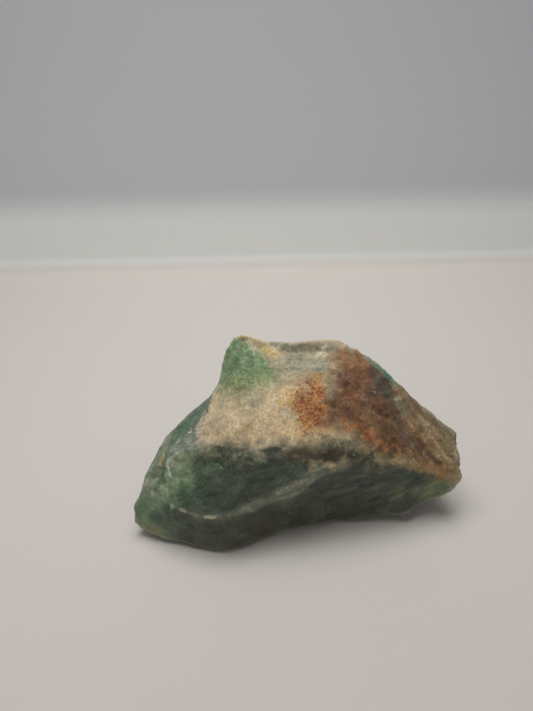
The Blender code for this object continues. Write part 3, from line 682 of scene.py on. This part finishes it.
        "line": [(-13.0, -4.4, 28.0), (-10.0, -5.6, 28.8), (-6.0, -5.2, 29.6)],
        "width": 1.4,
        "tones": ((0.31, 0.36, 0.155), (0.38, 0.42, 0.195)),
        "mottle": "grain", "edge": 1.2, "ragged": 0.8, "amount": 0.6},
    "ochreCap": {
        "line": [(-10.8, 0.2, 36.0), (-8.6, -0.1, 35.3), (-7.1, -0.3, 34.2), (-5.2, -0.5, 32.9),
                 (-3.8, -0.6, 32.2)],
        "width": 0.9,
        "tones": ((0.68, 0.54, 0.27), (0.83, 0.69, 0.39), (0.89, 0.78, 0.5)),
        "edge": 0.6, "ragged": 0.5, "amount": 0.9},
    "ochreSpots": {
        "balls": [(-5.2, -0.9, 32.7, 0.8), (-4.0, -1.2, 32.0, 0.6), (-6.4, -0.6, 33.6, 0.5),
                  (-25.7, -10.8, 15.4, 0.4), (-26, -11.3, 14.9, 0.45), (-26.4, -11.9, 14.2, 0.4),
                  (-27.8, -15.2, 10.3, 0.4), (-9, -13.4, 24.2, 0.5), (-1.2, -10.3, 27.1, 0.5),
                  (-3.0, -9.8, 27.2, 0.5)],
        "tones": ((0.66, 0.43, 0.1), (0.58, 0.43, 0.16)),
        "edge": 0.5, "ragged": 0.6, "amount": 0.75},
    "creamSpots": {
        "balls": [(-7.4, -0.8, 34.0, 1.1), (5.4, -0.2, 31.6, 0.9), (-2.2, -11.5, 26, 1.0),
                  (-4.5, -10, 26.8, 0.8), (-0.4, -7.9, 28.8, 0.5), (-1.0, -12.0, 25.6, 0.7),
                  (-3.2, -12.8, 25, 0.5), (-11, -12.8, 24.6, 0.7), (-9.4, -10, 26.2, 0.5)],
        "tones": ((0.84, 0.72, 0.49), (0.74, 0.62, 0.42)),
        "wander": "fine", "edge": 0.5, "ragged": 1.0, "amount": 0.7},
    "crestChips": {
        "line": [(-17.2, -21.1, 9.5), (-15.3, -21.5, 9.8)],
        "width": 0.34,
        "tones": ((0.8, 0.7, 0.46), (0.62, 0.56, 0.36)),
        "edge": 0.3, "ragged": 0.5, "amount": 0.85},
    "toeChip": {
        "line": [(-21.9, -19.4, 9.7), (-21.2, -19.7, 9.6)],
        "width": 0.38,
        "tones": ((0.76, 0.68, 0.45), (0.6, 0.54, 0.35)),
        "edge": 0.3, "ragged": 0.5, "amount": 0.8},
    "whiteCrescent": {
        "line": [(-24.5, -12.0, 15.6), (-24.35, -13.3, 14.8), (-24.0, -14.5, 13.6)],
        "width": 0.26,
        "tones": ((0.88, 0.9, 0.76), (0.78, 0.81, 0.66)),
        "edge": 0.22, "ragged": 0.1, "amount": 0.95},
    "pitShade": {
        "balls": [(6.0, -16.4, 19.4, 1.7), (7.4, -16.0, 19.6, 1.1)],
        "tones": ((0.088, 0.068, 0.042), (0.18, 0.132, 0.078)),
        "edge": 0.7, "ragged": 0.7, "amount": 0.9},
    "pitRim": {
        "line": [(2.1, -17.4, 17.6), (2.5, -17.0, 19.0), (4.0, -16.7, 18.7), (5.6, -16.7, 17.8),
                 (7.0, -16.6, 17.6), (8.4, -16.2, 18.2)],
        "width": 0.35,
        "tones": ((0.4, 0.3, 0.15), (0.6, 0.475, 0.265)),
        "mottle": "grain", "edge": 0.4, "ragged": 0.8, "amount": 0.85},
    "pitSpot": {
        "balls": [(8.4, -16.1, 18.4, 0.8), (3.0, -17.2, 18.2, 0.4), (6.2, -16.8, 17.5, 0.5)],
        "tones": ((0.42, 0.33, 0.18), (0.59, 0.475, 0.28)),
        "edge": 0.5, "ragged": 0.4, "amount": 0.85},
}

crustLie = {
    "up": 0.55,                # the crust lies on faces turned up more than this
    "reach": 4.0,              # millimetres that one unit of turning is worth
    "above": 19.3,             # height that it stops at
    "edge": (-15.7, -3.4),     # a point of its left edge, seen from above
    "edgeFacing": (0.960, -0.279),
    "edgeBehind": 0.8,         # how far the edge moves left for each millimetre behind the middle
    "edgeSharpness": 3.0,
}


def vertexNumbers(mesh, name):
    numbers = np.empty(len(mesh.vertices) * 3, np.float32)
    if name == "place":
        mesh.vertices.foreach_get("co", numbers)
    else:
        mesh.vertices.foreach_get("normal", numbers)
    return numbers.reshape(-1, 3).astype(float)


def spreadOut(values, ends, passes):
    count = np.bincount(ends.ravel(), minlength=len(values))[:, None] + 1.0
    for _ in range(passes):
        total = values.copy()
        for axis in range(values.shape[1]):
            total[:, axis] += np.bincount(ends[:, 0], values[ends[:, 1], axis], len(values))
            total[:, axis] += np.bincount(ends[:, 1], values[ends[:, 0], axis], len(values))
        values = total / count
    return values


def smoothRise(values, low, high):
    share = np.clip((values - low) / (high - low), 0.0, 1.0)
    return share * share * (3.0 - 2.0 * share)


def blend(share, low, high):
    return share * high + (1.0 - share) * low


def storeNumbers(mesh, name, values):
    attribute = mesh.attributes.new(name, "FLOAT", "POINT")
    attribute.data.foreach_set("value", values.astype(np.float32))


def easeSkin(stone, values):
    mesh = stone.data
    ends = np.empty(len(mesh.edges) * 2, np.int32)
    mesh.edges.foreach_get("vertices", ends)
    ends = ends.reshape(-1, 2)
    place = vertexNumbers(mesh, "place") / mm
    normal = vertexNumbers(mesh, "normal")

    # flats, and less on ridges
    eased = spreadOut(place, ends, values["easing"])
    standOff = ((place - eased) * normal).sum(axis=1)[:, None]
    keep = smoothRise(np.abs(spreadOut(standOff, ends, values["ridgeSpread"])), *values["ridge"])
    place = blend(keep, eased, spreadOut(place, ends, values["ridgeEasing"]))

    # the toe and the knob
    smooth = np.zeros((len(place), 1))
    for name in ("leftToe", "greenKnob"):
        depth = depthInBalls(place, stainsAndPaintedLight[name]["balls"])[:, None]
        smooth = np.maximum(smooth, smoothRise(depth, *values["smooth"]))
    smooth *= smoothRise(place[:, 2:], *values["sharpTop"])
    place = blend(smooth, place, spreadOut(place, ends, values["smoothEasing"]))

    # ridges and hollows brought out everywhere else
    broad = spreadOut(place, ends, values["crispReach"])
    standOff = spreadOut(((place - broad) * normal).sum(axis=1)[:, None], ends, values["crispSpread"])
    crisp = np.clip(standOff * values["crispness"], -values["mostCrisp"], values["mostCrisp"])
    place = place + crisp * normal * (1.0 - smooth)
    mesh.vertices.foreach_set("co", (place * mm).astype(np.float32).ravel())
    mesh.update()
    return place, ends


def depthInCrust(place, lie, values):
    depth = (lie[:, 2] - values["up"]) * values["reach"]
    depth = np.minimum(depth, place[:, 2] - values["above"])
    side = (place[:, :2] - values["edge"]) @ values["edgeFacing"]
    side += values["edgeBehind"] * np.maximum(place[:, 1], 0.0)
    return np.minimum(depth, side * values["edgeSharpness"])


def markStone(stone, place, ends, values):
    mesh = stone.data
    lie = spreadOut(vertexNumbers(mesh, "normal"), ends, values["lieReach"])
    lie /= np.linalg.norm(lie, axis=1)[:, None]
    # how far each point stands out: ridges get a painted highlight there, partly their wear
    wornAndLit = ((place - spreadOut(place, ends, values["wearAndHighlightReach"])) * lie).sum(axis=1)
    storeNumbers(mesh, "wornAndLit", wornAndLit)
    for name, patch in stainsAndPaintedLight.items():
        if "balls" in patch:
            depth = depthInBalls(place, patch["balls"])
        elif "line" in patch:
            depth = depthInLine(place, patch["line"], patch["width"])
        else:
            depth = depthInCrust(place, lie, crustLie)
        storeNumbers(mesh, name, depth)


stone = stoneSkin(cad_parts["stone"], body)
place, ends = easeSkin(stone, body)
markStone(stone, place, ends, body)
print("skin:", len(stone.data.vertices), "points")


# Relief, by Geometry Nodes: sugary grain on the crust, stretched waves on the breaks, ledges on the shelf
relief = {
    "Grain size": 1.2,
    "Grain height": 0.28,
    "Wave size": 3.6,
    "Wave height": 0.50,
    "Ledge spacing": 1.5,
    "Ledge height": 0.30,
    "Chip size": 5.5,
    "Chip height": 0.52,
}

# Where the relief lies: pairs are a start and an end in millimetres, or what the crust or the bare stone
# adds and what every place has
reliefLie = {
    "crust": (-0.3, 0.6),
    "grainShares": (1.6, 0.5),
    "waveShares": (1.6, 0.4),
    "waveTilt": 16.0,                      # degrees that the waves climb to the right
    "waveStretch": (0.34, 0.8, 1.5),
    "ledgeWarp": 3.0,
    "ledgeRise": (0.0, 0.8),               # shares of a ledge's width that it rises over, and drops over
    "ledgeDrop": (1.0, 0.9),
    "shelf": (-0.5, 1.5),
    "chipBendSize": 4.0,
    "chipBend": 3.0,
    "smallChips": 0.38,                    # size next to the large chips', and height
    "smallChipHeight": 0.35,
    "chipShares": (0.6, 0.4),
    "knob": (-1.0, 1.5, 0.65),             # the third number is how much of the relief is worn off
    "toe": (-2.5, 0.5, 0.85),
    "foot": (0.3, 2.6),
}


def named(tree, name):
    return addNode(tree, "GeometryNodeInputNamedAttribute", {"Name": name}, data_type="FLOAT").outputs[0]


def reliefTree(material, lie):
    tree = bpy.data.node_groups.new("stoneRelief", "GeometryNodeTree")
    tree.interface.new_socket("Geometry", in_out="INPUT", socket_type="NodeSocketGeometry")
    for name, value in relief.items():
        tree.interface.new_socket(name, in_out="INPUT", socket_type="NodeSocketFloat").default_value = value
    tree.interface.new_socket("Geometry", in_out="OUTPUT", socket_type="NodeSocketGeometry")
    given = addNode(tree, "NodeGroupInput").outputs
    spot = scaled(tree, addNode(tree, "GeometryNodeInputPosition").outputs[0], 1 / mm)
    high = addNode(tree, "ShaderNodeSeparateXYZ", {0: spot}).outputs["Z"]
    crust = rise(tree, named(tree, "sandCrust"), *lie["crust"])
    bare = calc(tree, "SUBTRACT", 1.0, crust)

    def sized(vector, size):
        return scaled(tree, vector, calc(tree, "DIVIDE", 1.0, size))

    def swing(vector, size, detail=3.0):
        return calc(tree, "SUBTRACT", noise(tree, sized(vector, size), 1.0, detail, 0.6), 0.5)

    def shared(height, where, shares):
        return calc(tree, "MULTIPLY", height, calc(tree, "MULTIPLY_ADD", where, *shares))

    # grain
    grain = calc(tree, "MULTIPLY", swing(spot, given["Grain size"]), given["Grain height"])
    grain = shared(grain, crust, lie["grainShares"])

    # waves lie along the stone and climb to the right
    turn = {"Vector": spot, "Angle": math.radians(lie["waveTilt"])}
    laid = addNode(tree, "ShaderNodeVectorRotate", turn, rotation_type="Y_AXIS").outputs[0]
    laid = vectorCalc(tree, "MULTIPLY", laid, lie["waveStretch"])
    wave = calc(tree, "MULTIPLY", swing(laid, given["Wave size"], 4.0), given["Wave height"])
    wave = shared(wave, bare, lie["waveShares"])

    # ledges step down the shelf under the rim
    warp = swing(spot, lie["ledgeWarp"])
    steps = calc(tree, "ADD", addNode(tree, "ShaderNodeSeparateXYZ", {0: spot}).outputs["Y"],
                 calc(tree, "MULTIPLY", warp, lie["ledgeWarp"]))
    saw = calc(tree, "FRACT", calc(tree, "DIVIDE", steps, given["Ledge spacing"]))
    saw = calc(tree, "MULTIPLY", rise(tree, saw, *lie["ledgeRise"]), rise(tree, saw, *lie["ledgeDrop"]))
    ledge = calc(tree, "MULTIPLY", calc(tree, "MULTIPLY", saw, given["Ledge height"]),
                 rise(tree, named(tree, "shelf"), *lie["shelf"]))

    # chips: small flats, each tilted its own way, large ones and small ones
    bent = scaled(tree, noise(tree, spot, lie["chipBendSize"], 2.0, 0.5, "Color"), lie["chipBend"])

    def tiltedChips(size, height):
        cells = sized(vectorCalc(tree, "ADD", spot, bent), size)
        chip = addNode(tree, "ShaderNodeTexVoronoi", {"Vector": cells, "Scale": 1.0}).outputs
        across = vectorCalc(tree, "SUBTRACT", cells, chip["Position"])
        tilt = vectorCalc(tree, "SUBTRACT", chip["Color"], (0.5, 0.5, 0.5))
        dot = addNode(tree, "ShaderNodeVectorMath", {0: across, 1: tilt}, operation="DOT_PRODUCT")
        return calc(tree, "MULTIPLY", dot.outputs["Value"], height)

    small = calc(tree, "MULTIPLY", given["Chip size"], lie["smallChips"])
    chips = calc(tree, "ADD", tiltedChips(given["Chip size"], given["Chip height"]),
                 tiltedChips(small, calc(tree, "MULTIPLY", given["Chip height"], lie["smallChipHeight"])))
    chips = shared(chips, bare, lie["chipShares"])

    total = calc(tree, "ADD", calc(tree, "ADD", grain, wave), calc(tree, "ADD", ledge, chips))
    smoothKnob = calc(tree, "SUBTRACT", 1.0, rise(tree, named(tree, "greenKnob"), *lie["knob"]))
    smoothToe = calc(tree, "SUBTRACT", 1.0, rise(tree, named(tree, "leftToe"), *lie["toe"]))
    smooth = calc(tree, "MULTIPLY", smoothKnob, smoothToe)
    total = calc(tree, "MULTIPLY", calc(tree, "MULTIPLY", total, smooth), rise(tree, high, *lie["foot"]))
    facing = addNode(tree, "GeometryNodeInputNormal").outputs[0]
    push = scaled(tree, facing, calc(tree, "MULTIPLY", total, mm))
    store = {"Geometry": given["Geometry"], "Name": "relief", "Value": total}
    kept = addNode(tree, "GeometryNodeStoreNamedAttribute", store, data_type="FLOAT", domain="POINT")
    moved = addNode(tree, "GeometryNodeSetPosition", {"Geometry": kept.outputs[0], "Offset": push}).outputs[0]
    shaded = addNode(tree, "GeometryNodeSetShadeSmooth", {"Geometry": moved}).outputs[0]
    real = addNode(tree, "GeometryNodeRealizeInstances", {"Geometry": shaded}).outputs[0]
    dressed = addNode(tree, "GeometryNodeSetMaterial", {"Geometry": real, "Material": material}).outputs[0]
    addNode(tree, "NodeGroupOutput", {"Geometry": dressed})
    return tree


# Material: mottled green quartz under the stains and the painted light, with mica that catches the light and
# glints painted into its colour.
# Three numbers say where a noise or an attribute starts to show, where it shows in full, and how much.
quartz = {
    "tones": ((0.08, 0.12, 0.072), (0.125, 0.18, 0.108), (0.18, 0.24, 0.15)),
    "toneSpan": (0.34, 0.66),              # noise of the first tone and of the last
    "cloud": (0.09, 0.11, 0.078, 1.0),
    "clouds": (0.40, 0.62, 0.7),
    "vein": (0.24, 0.28, 0.19, 1.0),
    "veins": (0.50, 0.72, 0.4),
    "softMix": 0.45,                       # share of the fine noise in the soft one
    "wander": 2.0,                         # millimetres of wandering that one unit of ragged is worth
    "offKnob": (0.5, -1.5),
    "onToe": (-1.0, 1.0, 0.35),
    "grit": (0.32, 0.68),
    "gritTones": (0.80, 1.20),
    "gritShares": (-0.4, 1.15),            # what places off the knob add, and what all have
    "fineTones": ((0.91, 0.90, 0.88), (1.08, 1.10, 1.10)),
    "flakeBend": 2.0,
    "flakeScale": 0.62,
    "flakeTones": (0.94, 1.06),
    # painted shade darkens the relief's hollows
    "hollow": (0.45, 0.45, 0.45, 1.0),
    "hollows": (0.05, -0.30, 0.4),
    # a painted highlight lightens ridges that stand out, partly their wear
    "wearAndHighlight": (0.55, 0.52, 0.40, 1.0),
    "wearAndHighlightSpan": (0.02, 0.30, 0.25),
    # mica flakes get painted glints: lighter colour, as well as less roughness
    "micaGlint": (0.80, 0.85, 0.75, 1.0),
    "micaScale": 2.4,
    "micaLeast": (0.0185, 0.978),          # flakes above this glint, and off the knob fewer do
    "micaEdge": 0.004,
    "micaSize": (0.42, 0.26),
    "micaAmount": 0.7,
    "micaRoughness": 0.22,
    "crust": (-0.3, 0.6),
    "crustRoughness": 0.80,
    "roughness": (0.40, 0.30),             # what the fine noise adds, and the least
    "bending": 1.54,
    "glow": 0.12,
    "glowReach": (0.8, 1.2, 0.7),
    "bump": 0.5,
    "bumpHeight": 0.05,
}


def stoneMaterial(values):
    material = bpy.data.materials.new("rawAventurine")
    material.use_nodes = True
    tree = material.node_tree
    shader = tree.nodes["Principled BSDF"]
    spot = scaled(tree, addNode(tree, "ShaderNodeTexCoord").outputs["Object"], 1 / mm)

    # millimetres along a direction and across it, the first ones squeezed, so that noise turns into streaks
    def along(direction, lengths):
        turn = Vector(direction).to_track_quat("X", "Z").to_euler()
        inputs = {"Vector": spot, "Rotation": tuple(turn), "Scale": lengths}
        return addNode(tree, "ShaderNodeMapping", inputs, vector_type="TEXTURE").outputs[0]

    # small dots, each cell of its own strength, bent so that few are round
    def speckNoise():
        bent = vectorCalc(tree, "ADD", spot, noise(tree, spot, 0.6, 2.0, 0.6, "Color"))
        cells = addNode(tree, "ShaderNodeTexVoronoi", {"Vector": bent, "Scale": 2.0}).outputs
        strength = addNode(tree, "ShaderNodeSeparateColor", {0: cells["Color"]}).outputs[0]
        dot = calc(tree, "MULTIPLY_ADD", cells["Distance"], -0.75, 0.68)
        return calc(tree, "MULTIPLY_ADD", strength, 0.42, dot)

    noises = {
        "grain": noise(tree, spot, 0.55, 3.0, 0.7),
        "speck": speckNoise(),
        "dust": noise(tree, vectorCalc(tree, "ADD", spot, (31.0, 7.0, 19.0)), 0.6, 3.0, 0.7),
        "fine": noise(tree, spot, 1.3, 4.0, 0.6),
        "middle": noise(tree, spot, 3.2, 4.0, 0.55),
        "broad": noise(tree, spot, 9.0, 3.0, 0.5),
        "streak": noise(tree, along((0.95, 0.10, 0.28), (3.6, 1.0, 1.0)), 1.4, 4.0, 0.6),
        "fall": noise(tree, along((0.565, -0.41, -0.715), (7.0, 1.0, 1.0)), 1.0, 4.0, 0.6),
        "layers": noise(tree, along((1.0, 0.0, -0.03), (4.5, 1.0, 1.0)), 1.2, 4.0, 0.6),
    }

    def attribute(name):
        return addNode(tree, "ShaderNodeAttribute", attribute_name=name).outputs["Fac"]

    def toned(value, tones):
        ramp = addNode(tree, "ShaderNodeValToRGB", {0: value})
        marks = ramp.color_ramp.elements
        while len(marks) < len(tones):
            marks.new(0.5)
        for mark, place, tone in zip(marks, np.linspace(*values["toneSpan"], len(tones)), tones):
            mark.position = place
            mark.color = (*tone, 1.0)
        return ramp.outputs[0]

    def greys(low, high):
        return (low, low, low), (high, high, high)

    # bare stone
    colour = toned(noises["middle"], values["tones"])
    colour = mixColour(tree, rise(tree, noises["broad"], *values["clouds"]), colour, values["cloud"])
    colour = mixColour(tree, rise(tree, noises["streak"], *values["veins"]), colour, values["vein"])

    # stains, and painted glows, sheen, highlights and shade
    noises["soft"] = mixNumber(tree, values["softMix"], noises["middle"], noises["fine"])
    for name, patch in stainsAndPaintedLight.items():
        wander = values["wander"] * patch["ragged"]
        swing = noises[patch.get("wander", "soft")]
        inside = calc(tree, "MULTIPLY_ADD", swing, 2.0 * wander, attribute(name))
        start = wander + patch.get("inset", 0.0)
        amount = rise(tree, inside, start - patch["edge"], start + patch["edge"], patch["amount"])
        colour = mixColour(tree, amount, colour, toned(noises[patch.get("mottle", "fine")], patch["tones"]))

    # grain and flakes; painted shade in the relief's hollows, and a painted highlight on ridges that stand
    # out, partly their wear
    grit = rise(tree, noise(tree, spot, 0.50, 3.0, 0.7), *values["grit"])
    offKnob = rise(tree, attribute("greenKnob"), *values["offKnob"])
    gritty = calc(tree, "MULTIPLY_ADD", offKnob, *values["gritShares"])
    gritty = calc(tree, "SUBTRACT", gritty, rise(tree, attribute("leftToe"), *values["onToe"]))
    colour = mixColour(tree, gritty, colour, toned(grit, greys(*values["gritTones"])), "MULTIPLY")
    colour = mixColour(tree, 1.0, colour, toned(noises["fine"], values["fineTones"]), "MULTIPLY")
    bent = vectorCalc(tree, "ADD", spot, noise(tree, spot, values["flakeBend"], 2.0, 0.5, "Color"))
    flakes = addNode(tree, "ShaderNodeTexVoronoi", {"Vector": bent, "Scale": values["flakeScale"]})
    shine = addNode(tree, "ShaderNodeSeparateColor", {0: flakes.outputs["Color"]}).outputs[0]
    colour = mixColour(tree, 1.0, colour, toned(shine, greys(*values["flakeTones"])), "MULTIPLY")
    shade = rise(tree, attribute("relief"), *values["hollows"])
    colour = mixColour(tree, shade, colour, values["hollow"], "MULTIPLY")
    wearAndHighlight = calc(tree, "MULTIPLY", rise(tree, attribute("wornAndLit"), *values["wearAndHighlightSpan"]), offKnob)
    colour = mixColour(tree, wearAndHighlight, colour, values["wearAndHighlight"], "SCREEN")

    # mica glints: the flakes are smoother, and their glints are painted lighter into the colour
    micaGlint = addNode(tree, "ShaderNodeTexVoronoi", {"Vector": spot, "Scale": values["micaScale"]}).outputs
    pick = addNode(tree, "ShaderNodeSeparateColor", {0: micaGlint["Color"]}).outputs[0]
    least = calc(tree, "MULTIPLY_ADD", offKnob, *values["micaLeast"])
    picked = rise(tree, pick, least, calc(tree, "ADD", least, values["micaEdge"]))
    glint = calc(tree, "MULTIPLY", picked, rise(tree, micaGlint["Distance"], *values["micaSize"]))
    colour = mixColour(tree, calc(tree, "MULTIPLY", glint, values["micaAmount"]), colour, values["micaGlint"])
    tree.links.new(colour, shader.inputs["Base Color"])

    # surface
    crust = rise(tree, attribute("sandCrust"), *values["crust"])
    bare = calc(tree, "MULTIPLY_ADD", noises["fine"], *values["roughness"])
    rough = mixNumber(tree, crust, bare, values["crustRoughness"])
    rough = mixNumber(tree, glint, rough, values["micaRoughness"])
    tree.links.new(rough, shader.inputs["Roughness"])
    shader.inputs["IOR"].default_value = values["bending"]
    shader.inputs["Subsurface Weight"].default_value = values["glow"]
    shader.inputs["Subsurface Radius"].default_value = values["glowReach"]
    shader.inputs["Subsurface Scale"].default_value = mm
    height = calc(tree, "ADD", calc(tree, "MULTIPLY", grit, 0.6), noise(tree, spot, 0.22, 2.0, 0.6))
    bump = {"Strength": values["bump"], "Distance": values["bumpHeight"] * mm, "Height": height}
    tree.links.new(addNode(tree, "ShaderNodeBump", bump).outputs[0], shader.inputs["Normal"])
    return material


def finishStone(stone):
    tree = reliefTree(stoneMaterial(quartz), reliefLie)
    modifier = stone.modifiers.new("relief", "NODES")
    modifier.node_group = tree
    for socket in tree.interface.items_tree:
        if socket.in_out == "INPUT" and socket.name in relief:
            modifier[socket.identifier] = relief[socket.name]
    graph = bpy.context.evaluated_depsgraph_get()
    mesh = bpy.data.meshes.new_from_object(stone.evaluated_get(graph), depsgraph=graph)
    stone.modifiers.remove(modifier)
    mesh.name = "aventurineStone"
    stone.data = mesh


# Stretches the finished skin by the fraction of a percent that brings it back to the CAD box
def fitToBox(stone, box):
    place = vertexNumbers(stone.data, "place")
    low, high = np.array(box[0]), np.array(box[1])
    share = (place - place.min(axis=0)) / (place.max(axis=0) - place.min(axis=0))
    stone.data.vertices.foreach_set("co", (low + share * (high - low)).astype(np.float32).ravel())
    stone.data.update()


finishStone(stone)
fitToBox(stone, cadBox)
print("stone finished:", len(stone.data.polygons), "faces")

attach(stone, "root")
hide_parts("stone")
